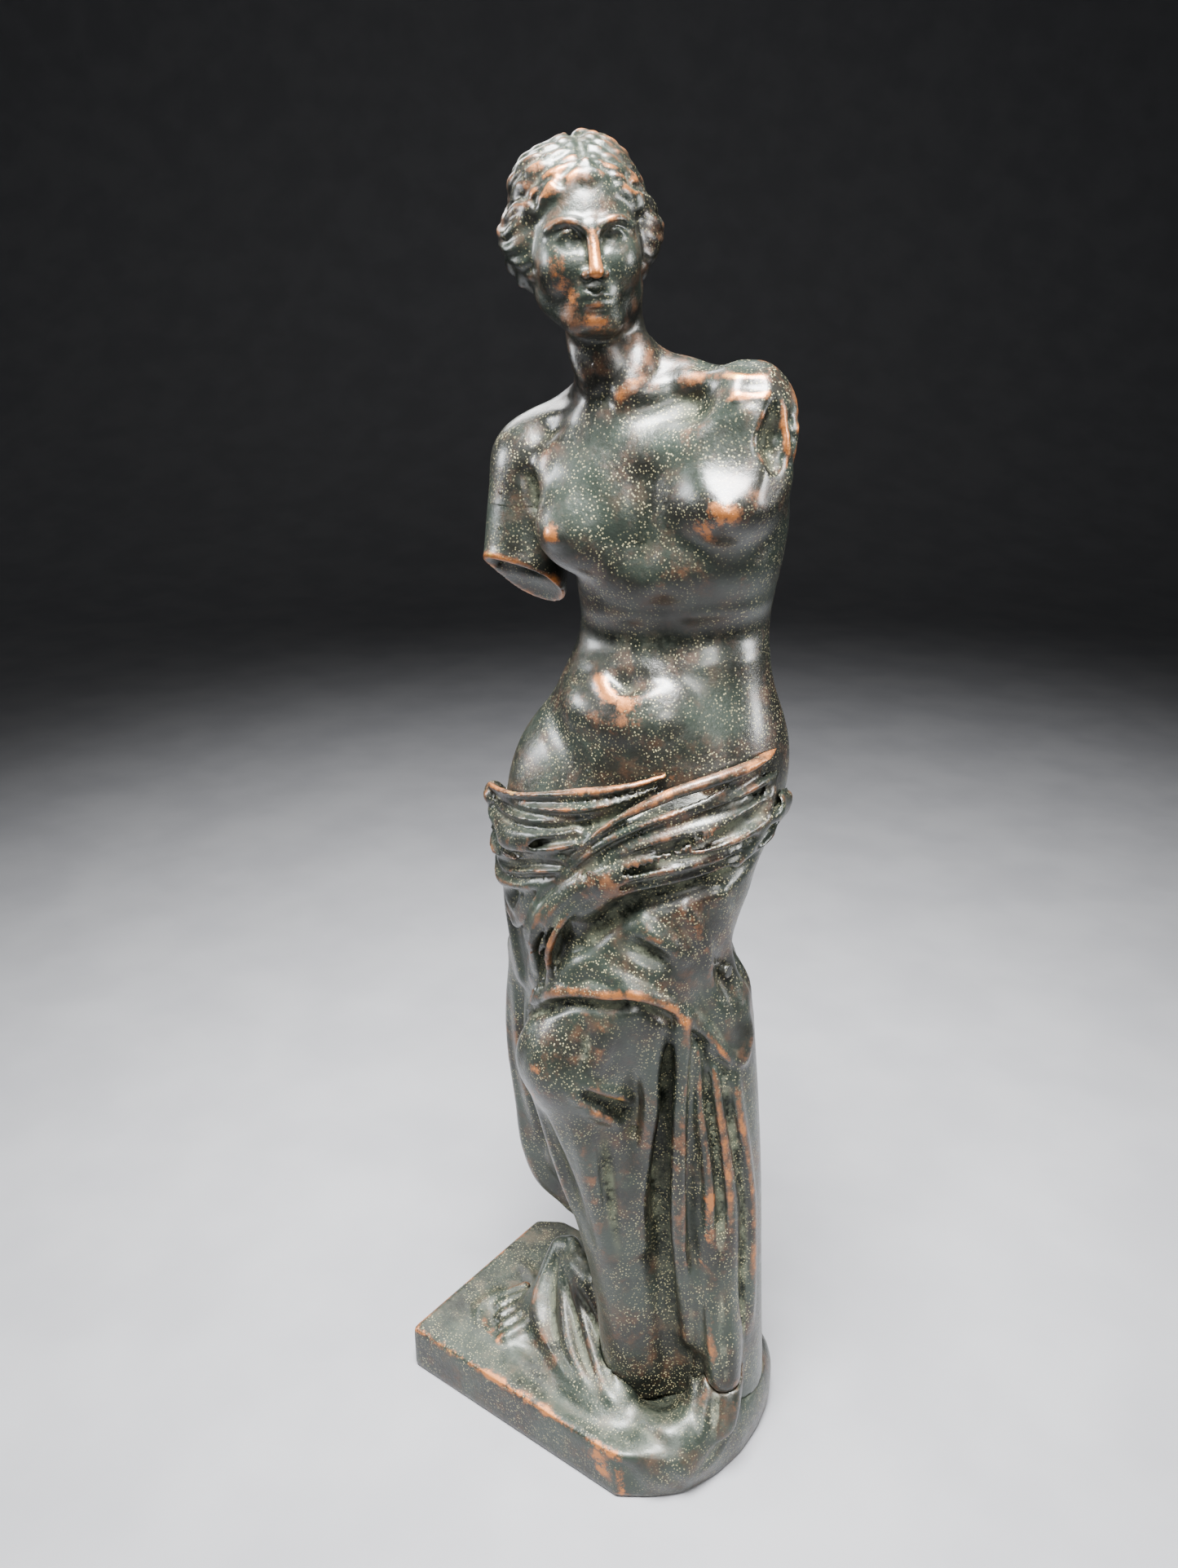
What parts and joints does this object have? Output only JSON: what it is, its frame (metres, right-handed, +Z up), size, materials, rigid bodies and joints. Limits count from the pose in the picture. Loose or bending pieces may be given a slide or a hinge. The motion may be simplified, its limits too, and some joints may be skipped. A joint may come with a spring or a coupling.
{
  "type": "bronze statuette",
  "caption": "Classical draped female figure in dark bronze, armless, with one bent knee, bolted to a low slab plinth with a rocky side.",
  "frame": {"origin": "centre of the overall bounding box in plan, at the plinth's underside", "axes": "+Z up, the figure's front towards -Y, its own left side towards +X"},
  "size_m": [0.114, 0.077, 0.4],
  "materials": {
    "patinated_bronze": "dark green-black patina with a waxed gloss, copper wear on the high places",
    "raw_bronze": "cast and filed bronze without patina",
    "brass_fastener": "turned brass, dulled"
  },
  "bodies": {
    "root": {"plinth": "patinated_bronze", "drapery": "patinated_bronze", "torso": "patinated_bronze", "head": "patinated_bronze", "arm_stump": "patinated_bronze", "waist_sleeve": "raw_bronze", "neck_sleeve": "raw_bronze", "arm_sleeve": "raw_bronze", "waist_pins": "raw_bronze", "neck_pins": "raw_bronze", "arm_pins": "raw_bronze", "core_plugs": "raw_bronze", "base_studs": "brass_fastener", "base_washers": "brass_fastener", "base_nuts": "brass_fastener"}
  },
  "joints": []
}
